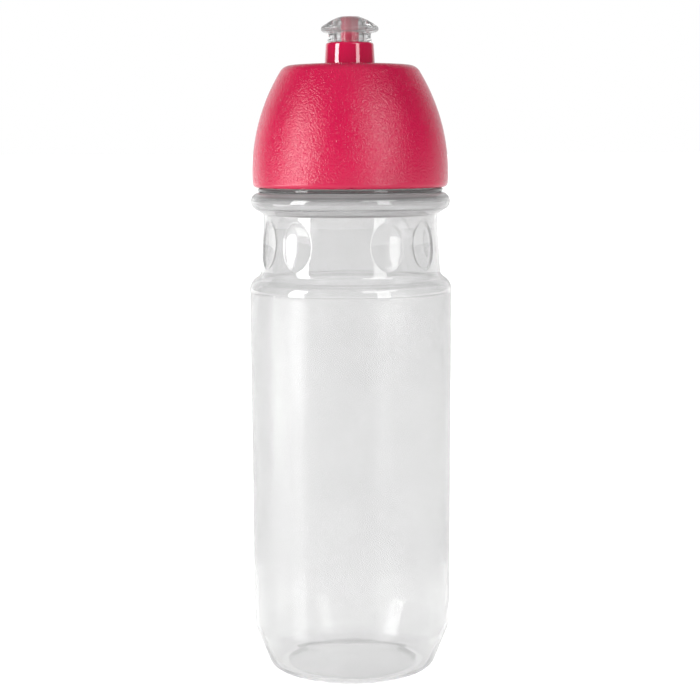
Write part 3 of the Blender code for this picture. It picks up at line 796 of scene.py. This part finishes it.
def clear_bottle():
    """Slightly milky polythene, satin on the panel, with painted shade round the neck under the cap and a
    little darker towards the bottom.
    """
    shader = Shader("clear_bottle")
    height = shader.height()
    above = shader.remap(height, SATIN_BOTTOM_Z - SATIN_BLEND, SATIN_BOTTOM_Z + SATIN_BLEND, 0.0, 1.0)
    below = shader.remap(height, PANEL_TOP_Z - PANEL_EDGE, PANEL_TOP_Z, 1.0, 0.0)
    mid_wall = BODY_BOTTOM_RADIUS - WALL / 2
    outside = shader.remap(shader.radius(), mid_wall, mid_wall + WALL / 4, 0.0, 1.0)
    panel = shader.math("MULTIPLY", shader.math("MULTIPLY", above, below), outside)
    waves = shader.noise(70.0, 2.0, 0.4)
    speckle = shader.noise(1500.0, 2.0)
    normal = shader.bump(waves, 0.0006, 0.35)
    normal = shader.bump(speckle, 0.00006, shader.math("MULTIPLY", panel, 0.6), normal)

    # Painted shade: the neck under the cap, the bead below it and a dark line on the bead's upper part are
    # darkened in colour where the cap shades them; the base only turns a little darker towards the bottom
    ridge = shader.remap(height, UNDER_CAP_SHADE_Z - SHADE_EDGE, UNDER_CAP_SHADE_Z, 0.0, 1.0)
    bead = shader.remap(height, BEAD_Z - BEAD_ARC, BEAD_Z - BEAD_ARC + 2 * SHADE_EDGE, 0.0, BEAD_SHADE)
    upper_bead = shader.math(
        "MULTIPLY",
        shader.remap(height, UPPER_BEAD_Z[0], UPPER_BEAD_Z[1], 0.0, BEAD_TOP_LINE_SHADE),
        shader.remap(height, UPPER_BEAD_Z[2], UPPER_BEAD_Z[3], 1.0, 0.0),
    )
    base = shader.remap(height, HEEL_TOP_Z, BODY_BOTTOM_Z, BASE_TINT, 0.0)
    painted_shade_and_dark_base = shader.math("MAXIMUM", ridge, shader.math("MAXIMUM", bead, upper_bead))
    painted_shade_and_dark_base = shader.math("MAXIMUM", painted_shade_and_dark_base, base)

    clear = shader.principled
    clear.inputs["Transmission Weight"].default_value = 1.0
    clear.inputs["IOR"].default_value = 1.5
    # The clear colour, darkened by the painted shade round the neck and a little towards the bottom
    shader.feed(clear.inputs["Base Color"], shader.mix_colour(painted_shade_and_dark_base, CLEAR, CLEAR_PAINTED_SHADE))
    shader.feed(clear.inputs["Roughness"], shader.remap(panel, 0.0, 1.0, GLOSS_ROUGHNESS, SATIN_ROUGHNESS))
    shader.feed(clear.inputs["Normal"], normal)

    # A band of denser haze over the upper bead, which takes the painted-shade colour
    veil = shader.math(
        "MULTIPLY",
        shader.remap(height, VEIL_Z[0], VEIL_Z[1], 0.0, 1.0),
        shader.remap(height, VEIL_Z[2], VEIL_Z[3], VEIL_SHARE, 0.0),
    )
    milkiness = shader.remap(shader.noise(45.0, 3.0), 0.3, 0.7, MILKINESS[0], MILKINESS[1])
    clearer_base = shader.remap(height, PANEL_BOTTOM_Z, CLEAR_BASE_TOP_Z, CLEAR_BASE_SHARE, 1.0)
    heel = shader.remap(height, HEEL_TOP_Z / 2, 2 * HEEL_TOP_Z, HEEL_SHARE, 0.0)
    share = shader.math("ADD", veil, shader.math("MULTIPLY", milkiness, clearer_base))
    share = shader.math("ADD", share, heel)
    # Haze colours, darkened by the painted shade round the neck and a little towards the bottom
    milky = shader.mix_colour(painted_shade_and_dark_base, MILK, MILK_PAINTED_SHADE)
    cloudy = shader.mix_colour(painted_shade_and_dark_base, MILK_DARK, MILK_PAINTED_SHADE)
    colour = shader.mix_colour(shader.noise(35.0, 3.0), cloudy, milky)
    lets_lamps_through(shader, haze(shader, clear.outputs[0], colour, share, normal), LAMP_LIGHT_THROUGH)
    return shader


def clear_mouthpiece():
    """Clear, polished soft plastic with a grey haze."""
    shader = Shader("clear_mouthpiece")
    normal = shader.bump(shader.noise(380.0, 2.0), 0.00008, 0.5)
    clear = shader.principled
    clear.inputs["Transmission Weight"].default_value = 1.0
    clear.inputs["IOR"].default_value = 1.36
    clear.inputs["Base Color"].default_value = (*SMOKE_CLEAR, 1.0)
    shader.feed(clear.inputs["Roughness"], shader.remap(shader.noise(500.0, 2.0), 0.3, 0.7, 0.05, 0.12))
    shader.feed(clear.inputs["Normal"], normal)
    head = shader.remap(shader.height(), HEAD_UNDERSIDE_Z - HEAD_UNDERSIDE_DROP, HEAD_UNDERSIDE_Z, 0.0, 1.0)
    smoke = shader.mix_colour(head, SMOKE_NECK, SMOKE_HEAD)
    cloudy = shader.remap(shader.noise(300.0, 2.0), 0.3, 0.7, 0.90, 1.10)
    share = shader.math("MULTIPLY", shader.remap(head, 0.0, 1.0, NECK_SMOKE_SHARE, HEAD_SMOKE_SHARE), cloudy)
    lets_lamps_through(shader, haze(shader, clear.outputs[0], smoke, share, normal), LAMP_LIGHT_THROUGH)
    return shader


def soft_seal():
    """Matte seal rubber."""
    shader = Shader("soft_seal")
    cloud = shader.noise(300.0, 3.0)
    shader.feed(shader.principled.inputs["Base Color"], shader.mix_colour(cloud, SEAL_GREY, MILK))
    shader.feed(shader.principled.inputs["Roughness"], shader.remap(cloud, 0.3, 0.7, 0.5, 0.65))
    shader.feed(shader.principled.inputs["Normal"], shader.bump(shader.noise(2500.0), 0.00004, 0.5))
    return shader


def make_floor():
    """Pale floor, far wider than the view."""
    bpy.ops.mesh.primitive_plane_add(size=FLOOR_SIZE, location=(0.0, 0.0, 0.0))
    floor = bpy.context.object
    floor.name = "studio_floor"
    shader = Shader("studio_floor")
    shader.principled.inputs["Base Color"].default_value = FLOOR_GREY
    shader.principled.inputs["Roughness"].default_value = 0.3
    shader.principled.inputs["Specular IOR Level"].default_value = 0.5
    shader.principled.inputs["Emission Color"].default_value = (1.0, 1.0, 1.0, 1.0)
    shader.principled.inputs["Emission Strength"].default_value = FLOOR_GLOW
    paint(floor, shader)
    return floor


def area_light(name, bearing, elevation, distance, size, radiance, seen_through=True):
    """A rectangular lamp that looks at the middle of the bottle.

    bearing is from the camera's, in degrees, and seen_through says whether it shows behind clear plastic.
    """
    data = bpy.data.lights.new(name, "AREA")
    data.shape = "RECTANGLE"
    data.size, data.size_y = size
    data.energy = radiance * math.pi * size[0] * size[1]
    lamp = bpy.data.objects.new(name, data)
    bpy.context.scene.collection.objects.link(lamp)
    lamp.visible_transmission = seen_through
    turn, lift = math.radians(CAMERA_BEARING + bearing), math.radians(elevation)
    away = Vector((math.sin(turn) * math.cos(lift), -math.cos(turn) * math.cos(lift), math.sin(lift)))
    middle = Vector((0.0, 0.0, LAMP_TARGET_Z))
    lamp.location = middle + away * distance
    lamp.rotation_euler = (-away).to_track_quat("-Z", "Y").to_euler()
    return lamp


def make_studio():
    """A white backdrop behind, a darker room in front, upright strips, a low card and a soft top light."""
    world = bpy.data.worlds.new("studio")
    bpy.context.scene.world = world
    world.use_nodes = True
    nodes, links = world.node_tree.nodes, world.node_tree.links
    seen = nodes["Background"]
    seen.inputs["Color"].default_value = (1.0, 1.0, 1.0, 1.0)
    seen.inputs["Strength"].default_value = 1.0
    place = nodes.new("ShaderNodeTexCoord")
    axes = nodes.new("ShaderNodeSeparateXYZ")
    links.new(place.outputs["Generated"], axes.inputs[0])
    depth = nodes.new("ShaderNodeMapRange")
    depth.interpolation_type = "SMOOTHSTEP"
    links.new(axes.outputs[1], depth.inputs[0])
    for index, value in enumerate((*BACKDROP_EDGE, ROOM_STRENGTH, BACKDROP_STRENGTH), start=1):
        depth.inputs[index].default_value = value
    lit = nodes.new("ShaderNodeBackground")
    lit.inputs["Color"].default_value = (1.0, 1.0, 1.0, 1.0)
    links.new(depth.outputs[0], lit.inputs["Strength"])
    mix = nodes.new("ShaderNodeMixShader")
    ray = nodes.new("ShaderNodeLightPath")
    links.new(ray.outputs["Is Camera Ray"], mix.inputs[0])
    links.new(lit.outputs[0], mix.inputs[1])
    links.new(seen.outputs[0], mix.inputs[2])
    links.new(mix.outputs[0], nodes["World Output"].inputs["Surface"])
    area_light("strip_left", bearing=-62.5, elevation=12.0, distance=1.1, size=(0.37, 0.95), radiance=11.0)
    area_light(
        "card_left", bearing=-85.0, elevation=-10.0, distance=0.45, size=(0.20, 0.10), radiance=5.5,
        seen_through=False,
    )
    area_light(
        "edge_left", bearing=-142.0, elevation=10.0, distance=1.2, size=(0.60, 0.95), radiance=0.7,
        seen_through=False,
    )
    area_light("strip_right", bearing=38.0, elevation=12.0, distance=1.2, size=(0.34, 0.95), radiance=5.5)
    area_light("panel_right", bearing=37.0, elevation=36.0, distance=1.2, size=(0.80, 0.30), radiance=5.0)
    area_light("top_light", bearing=0.0, elevation=80.0, distance=1.0, size=(0.9, 0.9), radiance=0.35)
    bpy.context.scene.view_settings.view_transform = "Standard"


def make_camera():
    """The camera, level with the cap, looking slightly down."""
    data = bpy.data.cameras.new("camera")
    data.lens = CAMERA_LENS
    data.sensor_width = SENSOR_WIDTH
    data.shift_x = CAMERA_SHIFT_X
    camera = bpy.data.objects.new("camera", data)
    bpy.context.scene.collection.objects.link(camera)
    bearing, pitch, roll = (math.radians(v) for v in (CAMERA_BEARING, CAMERA_PITCH, CAMERA_ROLL))
    place = Vector((math.sin(bearing), -math.cos(bearing), 0.0)) * CAMERA_DISTANCE
    place.z = CAMERA_HEIGHT
    turn = Matrix.Rotation(bearing, 4, "Z") @ Matrix.Rotation(math.pi / 2 - pitch, 4, "X")
    camera.matrix_world = Matrix.Translation(place) @ turn @ Matrix.Rotation(roll, 4, "Z")
    bpy.context.scene.camera = camera


paint(make_bottle(), clear_bottle())
paint(make_cap(), grained_pink())
paint(make_spout(), gloss_pink())
paint(make_mouthpiece(), clear_mouthpiece())
seal_material = soft_seal()
for seal in ("cap_gasket", "spout_seal"):
    paint(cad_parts[seal], seal_material)
make_floor()
make_studio()
make_camera()
